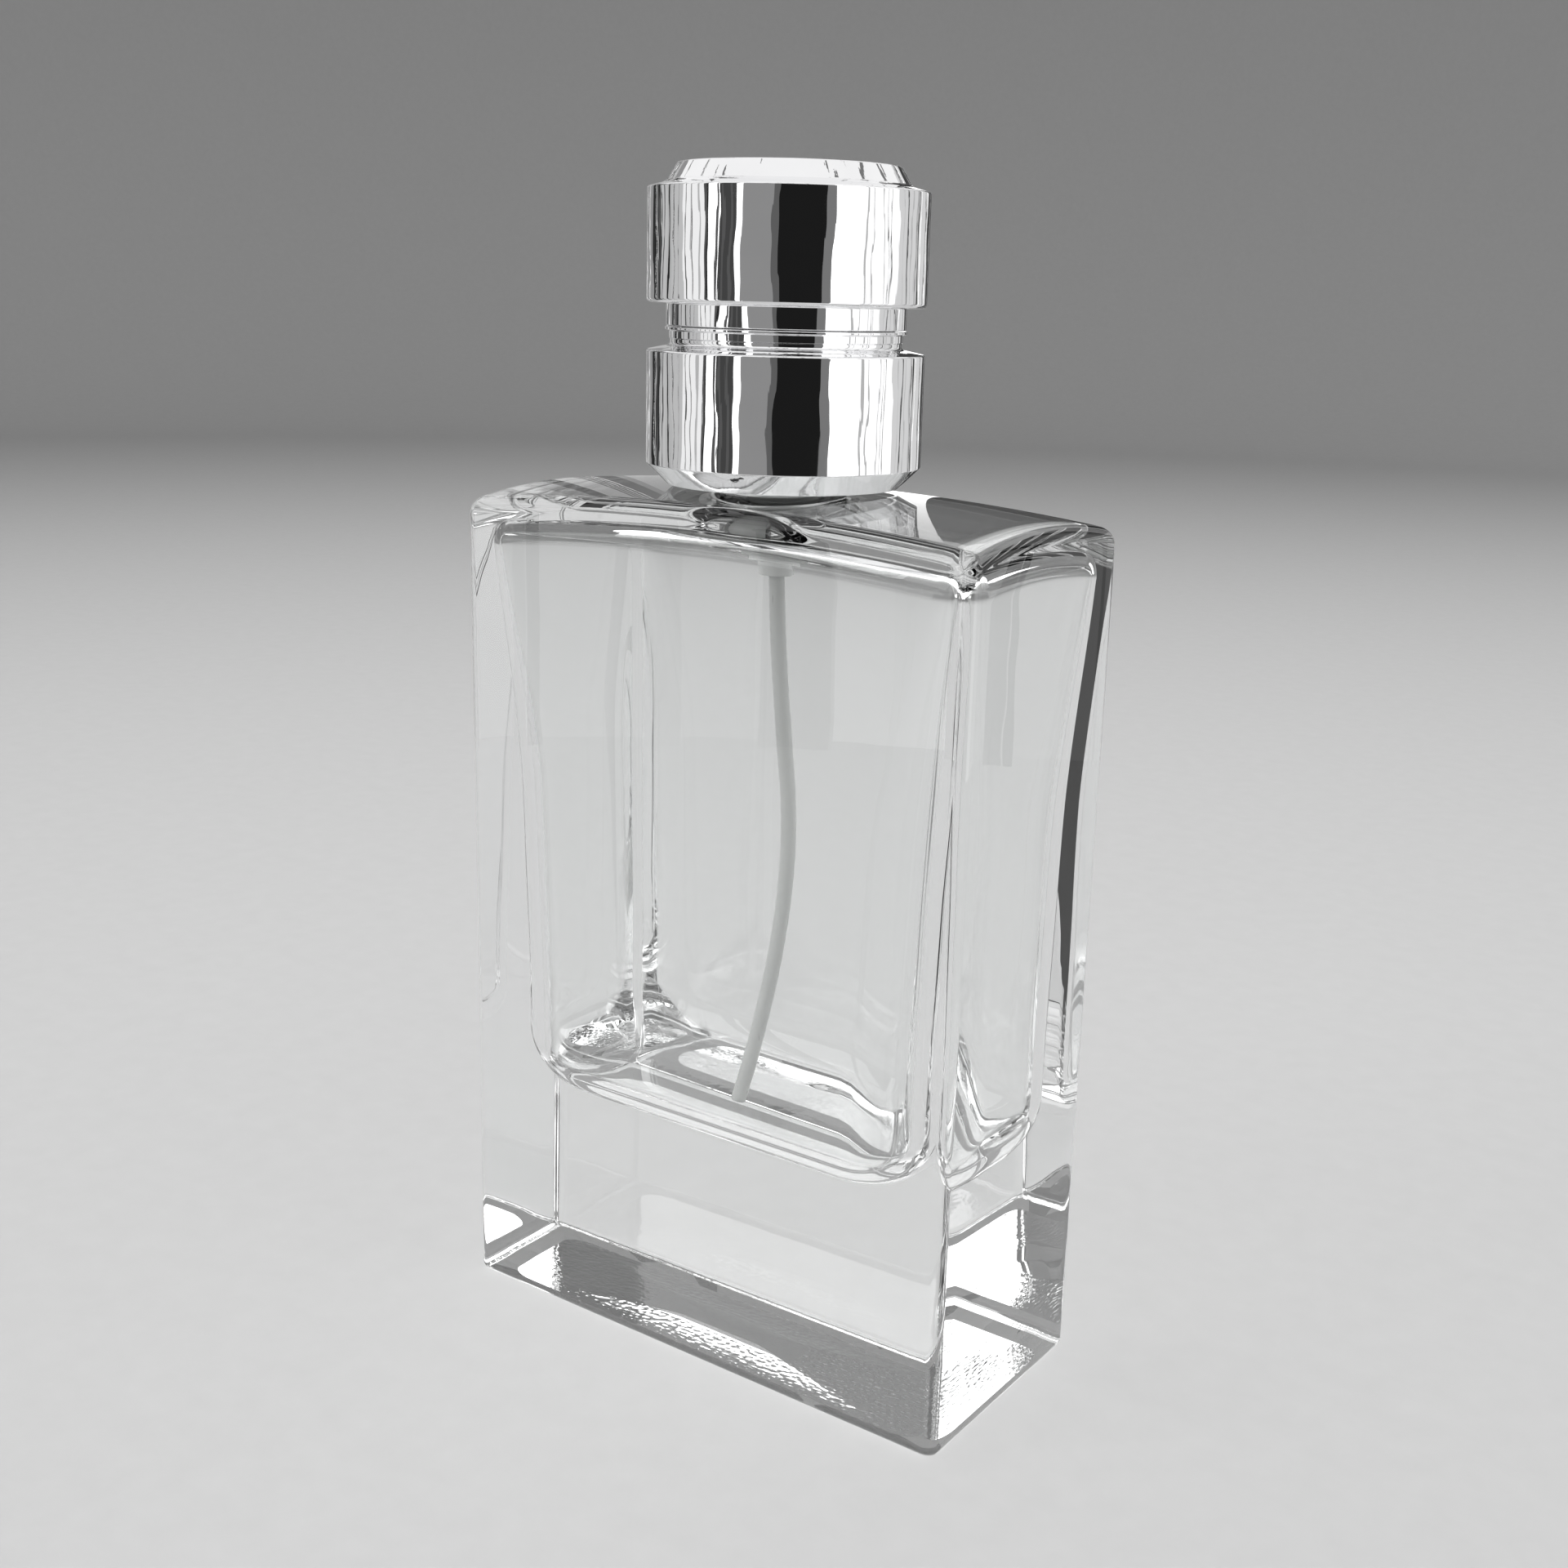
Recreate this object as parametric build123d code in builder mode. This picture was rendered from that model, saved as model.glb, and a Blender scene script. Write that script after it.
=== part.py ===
from build123d import *
import math
import os

# An empty glass spray flacon for aftershave: a heavy rectangular bottle, a crimped spray pump,
# a chrome collar over the crimp and a chrome overcap. Millimetres, +Z up.
# Origin: centre of the bottle's base. X runs along the wide front, -Y is the front face.

# ---- bottle ----
body_width = 62.0
body_depth = 28.0
body_edge_radius = 1.2  # upright edges
shoulder_height = 89.5  # top corners of the body
dome_sag_across = 1.7  # drop of the shoulder from the middle to the narrow sides
dome_sag_deep = 1.3  # drop of the shoulder from the middle to the wide sides
shoulder_edge_radius = 1.0
base_edge_radius = 0.8
base_hollow_rise = 0.5  # shallow push-up under the base
base_rim_width = 3.5
cavity_floor = 24.7
cavity_floor_radius = 4.8
cavity_roof_radius = 1.6
roof_thickness = 3.0
# height above the base, half width, half depth and corner radius of the hollow: it widens a
# little upwards, and its round corners tighten below the shoulder
cavity_levels = [
    (cavity_floor, 26.2, 11.3, 7.2),
    (44.0, 26.4, 11.6, 7.2),
    (62.0, 27.0, 12.0, 6.9),
    (74.0, 27.7, 12.2, 5.0),
    (84.0, 28.5, 12.4, 3.0),
    (92.0, 29.3, 12.5, 2.5),
]

# ---- neck, for a 15 mm crimp ----
neck_radius = 6.6
neck_bore_radius = 4.75
bead_radius = 7.45
bead_bottom = 96.5
neck_top = 100.6

# ---- pump ----
gasket_thickness = 0.5
flange_thickness = 0.9
flange_top = neck_top + gasket_thickness + flange_thickness
ferrule_wall = 0.4
ferrule_top = flange_top + ferrule_wall
ferrule_radius = 7.9
cylinder_radius = 2.75
cylinder_floor = 89.2
gasket_seat = 99.15
seal_thickness = 0.6
housing_radius = 3.55
chamber_outer_radius = 2.7
tail_radius = 1.8
tail_bottom = 83.5
tail_top = 86.8
housing_step = 97.0
ball_radius = 0.75
ball_chamber_radius = 1.2
ball_chamber_floor = 87.6
inlet_radius = 0.55
tube_radius = 0.82
tube_bore_radius = 0.55
tube_top = 86.55
stem_radius = 1.6
stem_foot_radius = 1.3
stem_bore_radius = 0.5
stem_foot = 96.25
stem_top = 110.8
piston_bottom = 96.3
piston_height = 1.7
running_gap = 0.05
stroke = 4.2

# ---- actuator ----
sleeve_radius = 6.6
sleeve_wall = 0.4
actuator_bottom = ferrule_top + stroke + 0.2
actuator_top = 117.3
spray_height = 113.4
nozzle_radius = 1.9
nozzle_depth = 3.2  # from the axis to the insert's back
nozzle_length = 2.9
nozzle_face = 0.45
swirl_post_radius = 1.1
orifice_radius = 0.2

# ---- collar and cap ----
trim_radius = 13.85
trim_wall = 0.45
groove_radius = 11.6
collar_bottom = 92.6
collar_chamfer_top = 94.65
collar_shoulder = 105.65
collar_top = 107.9
lip_radius = 12.0
cap_bottom = collar_top + 0.06
cap_step = 110.15
cap_shoulder = 121.0
cap_top = 123.3
plug_radius = 10.35
plug_bottom = 104.2

os.makedirs("parts", exist_ok=True)


def save(part, name):
    part.label = name
    export_step(part, f"parts/{name}.step")


# The shoulder is crowned both ways: an arc across the depth, turned about a far axis along Y.
crown = shoulder_height + dome_sag_across + dome_sag_deep
crown_turn_radius = (body_width / 2) ** 2 / (2 * dome_sag_across)
crown_arc_radius = (body_depth / 2) ** 2 / (2 * dome_sag_deep)


def crown_block(crown_height):
    """Everything under the crowned surface whose highest point is crown_height."""
    half_span = 0.9 * body_width  # beyond the body, so that the leaning ends clear its base
    end_drop = crown_turn_radius - math.sqrt(crown_turn_radius**2 - half_span**2)
    half_depth = body_depth / 2 + 2
    side_drop = crown_arc_radius - math.sqrt(crown_arc_radius**2 - half_depth**2)
    left = (-half_depth, -side_drop)
    right = (half_depth, -side_drop)
    with BuildPart() as block:
        with BuildLine(Plane.XZ) as ridge:
            ThreePointArc(
                (-half_span, crown_height - end_drop),
                (0, crown_height),
                (half_span, crown_height - end_drop),
            )
        ridge_line = ridge.wires()[0]
        end_plane = Plane(origin=ridge_line @ 0, x_dir=(0, 1, 0), z_dir=ridge_line % 0)
        with BuildSketch(end_plane):
            with BuildLine():
                ThreePointArc(left, (0, 0), right)
                Polyline(right, (half_depth, -crown_height - 5), (-half_depth, -crown_height - 5), left)
            make_face()
        sweep(path=ridge_line)
    return block.part


# The hollow of the bottle: rounded rectangles lofted upwards, under its own crowned roof.
with BuildPart() as cavity:
    for height, half_width, half_depth, corner_radius in cavity_levels:
        with BuildSketch(Plane.XY.offset(height)):
            RectangleRounded(2 * half_width, 2 * half_depth, corner_radius)
    loft()
    floor_edges = cavity.faces().sort_by(Axis.Z)[0].edges()
    fillet(floor_edges, cavity_floor_radius)
    add(crown_block(crown - roof_thickness), mode=Mode.INTERSECT)
    roof_edges = cavity.faces().sort_by(Axis.Z)[-1].edges()
    fillet(roof_edges, cavity_roof_radius)

with BuildPart() as glass_bottle:
    with BuildSketch():
        RectangleRounded(body_width, body_depth, body_edge_radius)
    extrude(amount=crown + 1)
    add(crown_block(crown), mode=Mode.INTERSECT)
    fillet(glass_bottle.faces().sort_by(Axis.Z)[-1].edges(), shoulder_edge_radius)
    fillet(glass_bottle.faces().sort_by(Axis.Z)[0].edges(), base_edge_radius)
    with BuildSketch():
        RectangleRounded(body_width - 2 * base_rim_width, body_depth - 2 * base_rim_width, 3)
    extrude(amount=base_hollow_rise, taper=30, mode=Mode.SUBTRACT)
    with BuildSketch(Plane.XZ):
        with BuildLine():
            Polyline(
                (0, crown - roof_thickness / 2),
                (neck_radius, crown - roof_thickness / 2),
                (neck_radius, bead_bottom),
                (bead_radius, bead_bottom + 0.8),
                (bead_radius, neck_top - 0.5),
                (bead_radius - 0.5, neck_top),
                (0, neck_top),
                close=True,
            )
        make_face()
    revolve(axis=Axis.Z)
    add(cavity.part, mode=Mode.SUBTRACT)
    with BuildSketch(Plane.XY.offset(crown - 2 * roof_thickness)):
        Circle(neck_bore_radius)
    extrude(amount=neck_top - crown + 2 * roof_thickness + 1, mode=Mode.SUBTRACT)
save(glass_bottle.part, "glass_bottle")

# Flat sealing ring between the glass and the pump's flange.
with BuildPart() as neck_gasket:
    with BuildSketch(Plane.XY.offset(neck_top)):
        Circle(bead_radius - 0.15)
        Circle(neck_bore_radius - 0.1, mode=Mode.SUBTRACT)
    extrude(amount=gasket_thickness)
save(neck_gasket.part, "neck_gasket")

# Pump housing: flange, wide collar, cylinder, ball chamber and the tail that grips the dip tube.
with BuildPart() as pump_housing:
    with BuildSketch(Plane.XZ):
        with BuildLine():
            Polyline(
                (tube_radius, tail_bottom),
                (tail_radius - 0.2, tail_bottom),
                (tail_radius, tail_bottom + 0.2),
                (tail_radius, tail_top),
                (chamber_outer_radius, tail_top),
                (chamber_outer_radius, cylinder_floor - 0.6),
                (housing_radius, cylinder_floor - 0.3),
                (housing_radius, housing_step),
                (housing_radius + 0.4, housing_step + 0.4),
                (housing_radius + 0.4, neck_top + gasket_thickness),
                (bead_radius - 0.35, neck_top + gasket_thickness),
                (bead_radius - 0.35, flange_top),
                (cylinder_radius + 0.55, flange_top),
                (cylinder_radius + 0.55, gasket_seat),
                (cylinder_radius, gasket_seat),
                (cylinder_radius, cylinder_floor),
                (ball_chamber_radius, cylinder_floor),
                (ball_chamber_radius, ball_chamber_floor),
                (inlet_radius, ball_chamber_floor - 0.6),
                (inlet_radius, tube_top),
                (tube_radius, tube_top),
                close=True,
            )
        make_face()
    revolve(axis=Axis.Z)
save(pump_housing.part, "pump_housing")

# Dip tube: pressed into the tail, straight at first, then bowed by its own set. The bow lies in
# one upright plane turned away from the bottle's width.
bow_plane_angle = 35.5
bow_x = math.cos(math.radians(bow_plane_angle))
bow_y = math.sin(math.radians(bow_plane_angle))
tube_route = [(0, tube_top), (0, 77.0), (2.93, 47.6), (-2.6, 25.3)]
tube_bend_radii = [80.0, 58.0]
with BuildPart() as dip_tube:
    with BuildLine() as tube_path:
        FilletPolyline(*[(s * bow_x, s * bow_y, z) for s, z in tube_route], radius=tube_bend_radii)
    with BuildSketch(Plane(origin=(0, 0, tube_top), z_dir=(0, 0, -1))):
        Circle(tube_radius)
        Circle(tube_bore_radius, mode=Mode.SUBTRACT)
    sweep(path=tube_path.wires()[0])
tube_length = tube_path.wires()[0].length
tube_section = math.pi * (tube_radius**2 - tube_bore_radius**2)
print("dip tube, mm", tube_length)
print("its volume over section x length", dip_tube.part.volume / (tube_section * tube_length))
save(dip_tube.part, "dip_tube")

# Steel check ball, resting just clear of its cone.
ball_centre = ball_chamber_floor + 0.14
with BuildPart() as check_ball:
    with Locations((0, 0, ball_centre)):
        Sphere(ball_radius)
save(check_ball.part, "check_ball")

# Return spring, from the cylinder's floor to the poppet.
spring_wire_radius = 0.18
spring_radius = 2.0
spring_bottom = cylinder_floor + spring_wire_radius + 0.02
spring_height = 6.0
spring_turns = 5
with BuildPart() as return_spring:
    with BuildLine(Plane.XY.offset(spring_bottom)) as coil_path:
        Helix(spring_height / spring_turns, spring_height, spring_radius)
    coil_start = coil_path.line @ 0
    with BuildSketch(Plane(origin=coil_start, z_dir=coil_path.line % 0)):
        Circle(spring_wire_radius)
    sweep(path=coil_path.line, is_frenet=True)
save(return_spring.part, "return_spring")

# Poppet: pressed into the stem's foot, carries the valve seat and centres the spring.
poppet_bottom = 93.6
poppet_radius = 1.4
poppet_flange_bottom = stem_foot - 0.6
with BuildPart() as poppet:
    with BuildSketch(Plane.XZ):
        with BuildLine():
            Polyline(
                (0, poppet_bottom),
                (poppet_radius - 0.3, poppet_bottom),
                (poppet_radius, poppet_bottom + 0.3),
                (poppet_radius, poppet_flange_bottom),
                (2.35, poppet_flange_bottom),
                (2.35, stem_foot - 0.2),
                (2.0, stem_foot),
                (stem_bore_radius, stem_foot),
                (stem_bore_radius, stem_foot + 1.3),
                (0, stem_foot + 1.3),
                close=True,
            )
        make_face()
    revolve(axis=Axis.Z)
save(poppet.part, "poppet")

# Piston: a sleeve that slides on the stem's foot, with a lip at each end that wipes the cylinder.
piston_top = piston_bottom + piston_height
piston_radius = cylinder_radius - running_gap
with BuildPart() as piston:
    with BuildSketch(Plane.XZ):
        with BuildLine():
            Polyline(
                (stem_foot_radius + running_gap, piston_bottom),
                (2.0, piston_bottom),
                (piston_radius, piston_bottom + 0.15),
                (piston_radius, piston_bottom + 0.5),
                (piston_radius - 0.3, piston_bottom + 0.7),
                (piston_radius - 0.3, piston_top - 0.7),
                (piston_radius, piston_top - 0.5),
                (piston_radius, piston_top - 0.1),
                (2.3, piston_top - 0.1),
                (2.0, piston_top),
                (stem_foot_radius + running_gap, piston_top),
                close=True,
            )
        make_face()
    revolve(axis=Axis.Z)
save(piston.part, "piston")

# Stem: hollow, with two ports above the piston and a flange that stops under the stem seal.
stem_flange_bottom = gasket_seat - 0.55
with BuildPart() as stem:
    with BuildSketch(Plane.XZ):
        with BuildLine():
            Polyline(
                (stem_bore_radius, stem_foot),
                (stem_foot_radius, stem_foot),
                (stem_foot_radius, stem_flange_bottom),
                (2.3, stem_flange_bottom),
                (2.3, gasket_seat - 0.05),
                (stem_radius, gasket_seat - 0.05),
                (stem_radius, stem_top - 0.3),
                (stem_radius - 0.3, stem_top),
                (stem_bore_radius, stem_top),
                close=True,
            )
        make_face()
    revolve(axis=Axis.Z)
    with BuildSketch(Plane.YZ):
        with Locations((0, stem_flange_bottom - 0.3)):
            Circle(0.22)
    extrude(amount=stem_foot_radius + 0.2, both=True, mode=Mode.SUBTRACT)
save(stem.part, "stem")

# Stem seal, trapped between the housing and the turret.
seal_radius = cylinder_radius + 0.55
with BuildPart() as stem_seal:
    with BuildSketch(Plane.XY.offset(gasket_seat)):
        Circle(seal_radius)
        Circle(stem_radius + running_gap, mode=Mode.SUBTRACT)
    extrude(amount=seal_thickness)
save(stem_seal.part, "stem_seal")

# Turret: the plug that guides the stem, pressed into the housing and held down by the ferrule.
with BuildPart() as turret:
    with BuildSketch(Plane.XZ):
        with BuildLine():
            Polyline(
                (stem_radius + running_gap, gasket_seat + seal_thickness),
                (seal_radius, gasket_seat + seal_thickness),
                (seal_radius, flange_top),
                (2.2, flange_top),
                (2.2, ferrule_top + 0.5),
                (stem_radius + running_gap, ferrule_top + 0.5),
                close=True,
            )
        make_face()
    revolve(axis=Axis.Z)
save(turret.part, "turret")

# Ferrule: thin aluminium cup, its skirt curled in under the neck's bead.
with BuildPart() as crimp_ferrule:
    with BuildSketch(Plane.XZ):
        with BuildLine():
            Polyline(
                (2.25, flange_top),
                (bead_radius + 0.05, flange_top),
                (bead_radius + 0.05, bead_bottom + 0.8),
                (neck_radius + 0.3, bead_bottom + 0.15),
                (neck_radius + 0.3, bead_bottom - 0.3),
                (ferrule_radius, bead_bottom + 0.5),
                (ferrule_radius, ferrule_top - 0.4),
                (ferrule_radius - 0.4, ferrule_top),
                (2.25, ferrule_top),
                close=True,
            )
        make_face()
    revolve(axis=Axis.Z)
save(crimp_ferrule.part, "crimp_ferrule")

# Collar shell: bright-plated metal, chamfered foot, straight band, flared groove and a rolled lip.
with BuildPart() as collar_shell:
    with BuildSketch(Plane.XZ):
        with BuildLine():
            foot = trim_radius - 2.1
            Polyline(
                (foot, collar_bottom),
                (trim_radius, collar_chamfer_top),
                (trim_radius, collar_shoulder - 0.2),
                (trim_radius - 0.2, collar_shoulder),
                (groove_radius + 0.75, collar_shoulder + 0.3),
            )
            ThreePointArc(
                (groove_radius + 0.75, collar_shoulder + 0.3),
                (groove_radius + 0.1, collar_shoulder + 0.5),
                (groove_radius - 0.1, collar_shoulder + 1.05),
            )
            Polyline(
                (groove_radius - 0.1, collar_shoulder + 1.05),
                (groove_radius, collar_shoulder + 1.15),
                (groove_radius, collar_top - 0.4),
                (lip_radius, collar_top - 0.3),
                (lip_radius, collar_top - 0.1),
                (lip_radius - 0.1, collar_top),
                (plug_radius + 0.1, collar_top),
                (plug_radius + 0.1, collar_top - 0.45),
                (groove_radius - 0.6, collar_top - 0.45),
                (groove_radius - 0.6, collar_shoulder - trim_wall),
                (trim_radius - trim_wall, collar_shoulder - trim_wall),
                (trim_radius - trim_wall, collar_chamfer_top + 0.2),
                (foot - 0.35, collar_bottom + 0.15),
                (foot - 0.35, collar_bottom),
                (foot, collar_bottom),
            )
        make_face()
    revolve(axis=Axis.Z)
save(collar_shell.part, "collar_shell")

# Collar liner: moulded plastic, one sleeve on the ferrule, one inside the shell, one at the mouth.
liner_radius = trim_radius - trim_wall
liner_bottom = 94.2
mouth_radius = plug_radius + 0.1
with BuildPart() as collar_liner:
    with BuildSketch(Plane.XZ):
        with BuildLine():
            Polyline(
                (ferrule_radius, liner_bottom),
                (ferrule_radius + 0.9, liner_bottom),
                (ferrule_radius + 0.9, ferrule_top - 1.2),
                (liner_radius - 0.9, ferrule_top - 1.2),
                (liner_radius - 0.9, collar_chamfer_top + 0.4),
                (liner_radius, collar_chamfer_top + 0.4),
                (liner_radius, collar_shoulder - trim_wall - 0.1),
                (liner_radius - 0.9, collar_shoulder - trim_wall - 0.1),
                (liner_radius - 0.9, ferrule_top - 0.2),
                (groove_radius - 0.6, ferrule_top - 0.2),
                (groove_radius - 0.6, collar_top - 0.45),
                (mouth_radius, collar_top - 0.45),
                (mouth_radius, ferrule_top - 0.2),
                (ferrule_radius, ferrule_top - 0.4),
                close=True,
            )
        make_face()
    revolve(axis=Axis.Z)
save(collar_liner.part, "collar_liner")

# Actuator core: moulded plastic, socketed on the stem, with a side bore for the nozzle.
core_radius = sleeve_radius - sleeve_wall
core_wall = 0.95
post_radius = 2.9
boss_radius = 2.6
core_top = actuator_top - sleeve_wall
core_ceiling = core_top - 1.4
with BuildPart() as actuator_core:
    with BuildSketch(Plane.XZ):
        with BuildLine():
            Polyline(
                (0, actuator_bottom + 0.8),
                (post_radius, actuator_bottom + 0.8),
                (post_radius, core_ceiling),
                (core_radius - core_wall, core_ceiling),
                (core_radius - core_wall, actuator_bottom),
                (core_radius, actuator_bottom),
                (core_radius, core_top),
                (0, core_top),
                close=True,
            )
        make_face()
    revolve(axis=Axis.Z)
    # boss from the post out to the wall
    with BuildSketch(Plane.XZ):
        with Locations((0, spray_height)):
            Circle(boss_radius)
    extrude(amount=core_radius - 0.8)
    # socket for the stem
    with BuildSketch(Plane.XY.offset(stem_top + 0.1)):
        Circle(stem_radius + 0.03)
    extrude(amount=-stem_top, mode=Mode.SUBTRACT)
    # ring-shaped bore that leaves the swirl post, opened out at its mouth
    with BuildSketch(Plane.XZ.offset(nozzle_depth)):
        with Locations((0, spray_height)):
            Circle(nozzle_radius)
            Circle(swirl_post_radius, mode=Mode.SUBTRACT)
    extrude(amount=core_radius, mode=Mode.SUBTRACT)
    with BuildSketch(Plane.XZ.offset(nozzle_depth + nozzle_length - nozzle_face)):
        with Locations((0, spray_height)):
            Circle(nozzle_radius)
    extrude(amount=core_radius, mode=Mode.SUBTRACT)
    # way up from the stem and out along the post
    with BuildSketch(Plane.XZ):
        with Locations((0, spray_height)):
            Circle(stem_bore_radius)
    extrude(amount=nozzle_depth + 0.6, mode=Mode.SUBTRACT)
    with BuildSketch(Plane.XY.offset(stem_top)):
        Circle(stem_bore_radius)
    extrude(amount=spray_height - stem_top, mode=Mode.SUBTRACT)
save(actuator_core.part, "actuator_core")

# Nozzle insert: a small cup pressed over the swirl post, with the spray orifice in its face.
with BuildPart() as nozzle_insert:
    with BuildSketch(Plane.XZ.offset(nozzle_depth)):
        with Locations((0, spray_height)):
            Circle(nozzle_radius)
            Circle(orifice_radius, mode=Mode.SUBTRACT)
    extrude(amount=nozzle_length)
    with BuildSketch(Plane.XZ.offset(nozzle_depth)):
        with Locations((0, spray_height)):
            Circle(swirl_post_radius)
    extrude(amount=nozzle_length - nozzle_face, mode=Mode.SUBTRACT)
save(nozzle_insert.part, "nozzle_insert")

# Actuator sleeve: drawn aluminium cup over the core, with a window for the nozzle.
with BuildPart() as actuator_sleeve:
    with BuildSketch(Plane.XY.offset(actuator_bottom)):
        Circle(sleeve_radius)
    extrude(amount=actuator_top - actuator_bottom)
    fillet(actuator_sleeve.faces().sort_by(Axis.Z)[-1].edges(), 0.35)
    with BuildSketch(Plane.XY.offset(actuator_bottom)):
        Circle(core_radius)
    extrude(amount=core_top - actuator_bottom, mode=Mode.SUBTRACT)
    with BuildSketch(Plane.XZ.offset(sleeve_radius - 2)):
        with Locations((0, spray_height)):
            Circle(nozzle_radius + 0.25)
    extrude(amount=4, mode=Mode.SUBTRACT)
save(actuator_sleeve.part, "actuator_sleeve")

# Cap shell: bright-plated metal, narrow skirt, wide band and a chamfered crown.
ledge_radius = 12.5
bevel_radius = 11.95
crown_flat_radius = 10.9
with BuildPart() as cap_shell:
    with BuildSketch(Plane.XZ):
        with BuildLine():
            Polyline(
                (plug_radius + 0.05, cap_bottom),
                (groove_radius + 0.3, cap_bottom),
                (groove_radius + 0.3, cap_step - 0.1),
                (groove_radius + 0.4, cap_step),
                (trim_radius - 0.4, cap_step),
                (trim_radius, cap_step + 0.4),
                (trim_radius, cap_shoulder - 0.15),
                (trim_radius - 0.15, cap_shoulder),
                (ledge_radius, cap_shoulder + 0.35),
                (bevel_radius, cap_shoulder + 0.65),
                (crown_flat_radius + 0.1, cap_top - 0.1),
                (crown_flat_radius - 0.1, cap_top),
                (0, cap_top),
                (0, cap_top - trim_wall),
                (crown_flat_radius - 0.4, cap_top - trim_wall),
                (bevel_radius - 0.35, cap_shoulder + 0.2),
                (ledge_radius - 0.3, cap_shoulder - 0.1),
                (trim_radius - trim_wall, cap_shoulder - trim_wall),
                (trim_radius - trim_wall, cap_step + trim_wall),
                (groove_radius - 0.15, cap_step + trim_wall),
                (groove_radius - 0.15, cap_bottom + 0.4),
                (plug_radius + 0.05, cap_bottom + 0.4),
                close=True,
            )
        make_face()
    revolve(axis=Axis.Z)
save(cap_shell.part, "cap_shell")

# Cap liner: moulded plastic, a plug that slips into the collar's mouth, ribs that grip the shell.
liner_bore = plug_radius - 1.0
liner_ceiling = 121.75
with BuildPart() as cap_liner:
    with BuildSketch(Plane.XZ):
        with BuildLine():
            Polyline(
                (liner_bore + 0.3, plug_bottom),
                (plug_radius - 0.25, plug_bottom),
                (plug_radius, plug_bottom + 0.4),
                (plug_radius, cap_bottom + 0.4),
                (groove_radius - 0.15, cap_bottom + 0.4),
                (groove_radius - 0.15, cap_bottom + 1.3),
                (plug_radius, cap_bottom + 1.3),
                (plug_radius, cap_shoulder - 1.4),
                (trim_radius - trim_wall, cap_shoulder - 1.4),
                (trim_radius - trim_wall, cap_shoulder - 0.6),
                (plug_radius, cap_shoulder - 0.6),
                (plug_radius, cap_top - trim_wall),
                (0, cap_top - trim_wall),
                (0, liner_ceiling),
                (liner_bore, liner_ceiling),
                (liner_bore, plug_bottom + 0.3),
                close=True,
            )
        make_face()
    revolve(axis=Axis.Z)
save(cap_liner.part, "cap_liner")

print("hollow of the bottle, ml", cavity.part.volume / 1000)
print("glass, g", glass_bottle.part.volume / 1000 * 2.5)
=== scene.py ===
import math

import bmesh
import bpy
import numpy as np
from mathutils import Matrix, Vector


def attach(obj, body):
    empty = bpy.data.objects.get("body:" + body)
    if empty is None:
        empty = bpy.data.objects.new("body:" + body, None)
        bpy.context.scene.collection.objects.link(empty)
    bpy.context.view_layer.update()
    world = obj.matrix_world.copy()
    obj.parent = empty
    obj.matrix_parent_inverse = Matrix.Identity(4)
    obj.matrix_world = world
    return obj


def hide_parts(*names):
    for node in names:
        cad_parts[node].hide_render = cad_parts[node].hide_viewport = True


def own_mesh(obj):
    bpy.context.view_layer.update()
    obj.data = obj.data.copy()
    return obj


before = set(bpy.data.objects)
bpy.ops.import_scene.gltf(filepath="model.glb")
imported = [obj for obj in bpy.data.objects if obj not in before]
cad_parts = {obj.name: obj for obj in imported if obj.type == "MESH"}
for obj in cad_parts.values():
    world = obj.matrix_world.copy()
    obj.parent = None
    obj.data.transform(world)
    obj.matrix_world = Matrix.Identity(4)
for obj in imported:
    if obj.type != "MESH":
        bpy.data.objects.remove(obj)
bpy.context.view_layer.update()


# ---------------------------------------------------------------------------------------------
# Camera. A standard lens, a little above the shoulder and looking down on it, turned towards
# the bottle's right-hand corner and leaning by a hair, as a hand-held camera does.
camera_azimuth = math.radians(35.47)
camera_pitch = math.radians(14.74)
camera_roll = math.radians(1.43)
camera_distance = 0.19166
camera_height = 0.11158
camera_side_step = 0.00092
lens_length = 43.09

level_forward = np.array([-math.sin(camera_azimuth), math.cos(camera_azimuth), 0.0])
level_right = np.array([math.cos(camera_azimuth), math.sin(camera_azimuth), 0.0])
upright = np.array([0.0, 0.0, 1.0])
forward = level_forward * math.cos(camera_pitch) - upright * math.sin(camera_pitch)
level_up = np.cross(level_right, forward)
camera_matrix = np.eye(4)
camera_matrix[:3, 0] = level_right * math.cos(camera_roll) + level_up * math.sin(camera_roll)
camera_matrix[:3, 1] = level_up * math.cos(camera_roll) - level_right * math.sin(camera_roll)
camera_matrix[:3, 2] = -forward
camera_matrix[:3, 3] = (
    level_right * camera_side_step - level_forward * camera_distance + upright * camera_height
)
camera = bpy.data.objects.new("camera", bpy.data.cameras.new("camera"))
camera.data.lens = lens_length
camera.data.sensor_width = 36.0
camera.data.clip_start = 0.01
camera.matrix_world = Matrix(camera_matrix.tolist())
bpy.context.scene.collection.objects.link(camera)
bpy.context.scene.camera = camera


# ---------------------------------------------------------------------------------------------
# Glass bottle. Clear flint glass, blown in two mould halves and fire polished: a heavy block
# outside, a hollow inside that narrows downwards, and a crimp neck on its crowned shoulder.
MM = 0.001
crown_height = 92.5 * MM
crown_sag = np.array([1.7, 1.3]) * MM
body_half = np.array([31.0, 14.0]) * MM
body_corner = 1.25 * MM
shoulder_round = 1.5 * MM
base_round = 0.8 * MM
base_rim = 3.5 * MM
base_rim_corner = 3.0 * MM
base_push_up = 0.5 * MM
roof_thickness = 3.0 * MM
roof_round = 2.2 * MM
hollow_floor = 24.7 * MM
hollow_floor_half = np.array([26.2, 11.3]) * MM
hollow_taper = np.array([0.004, 0.021])  # metres wider for each metre up
hollow_flare = np.array([0.62, -0.06])  # and for each metre squared
hollow_ripple = np.array([0.05, 0.04]) * MM
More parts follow.
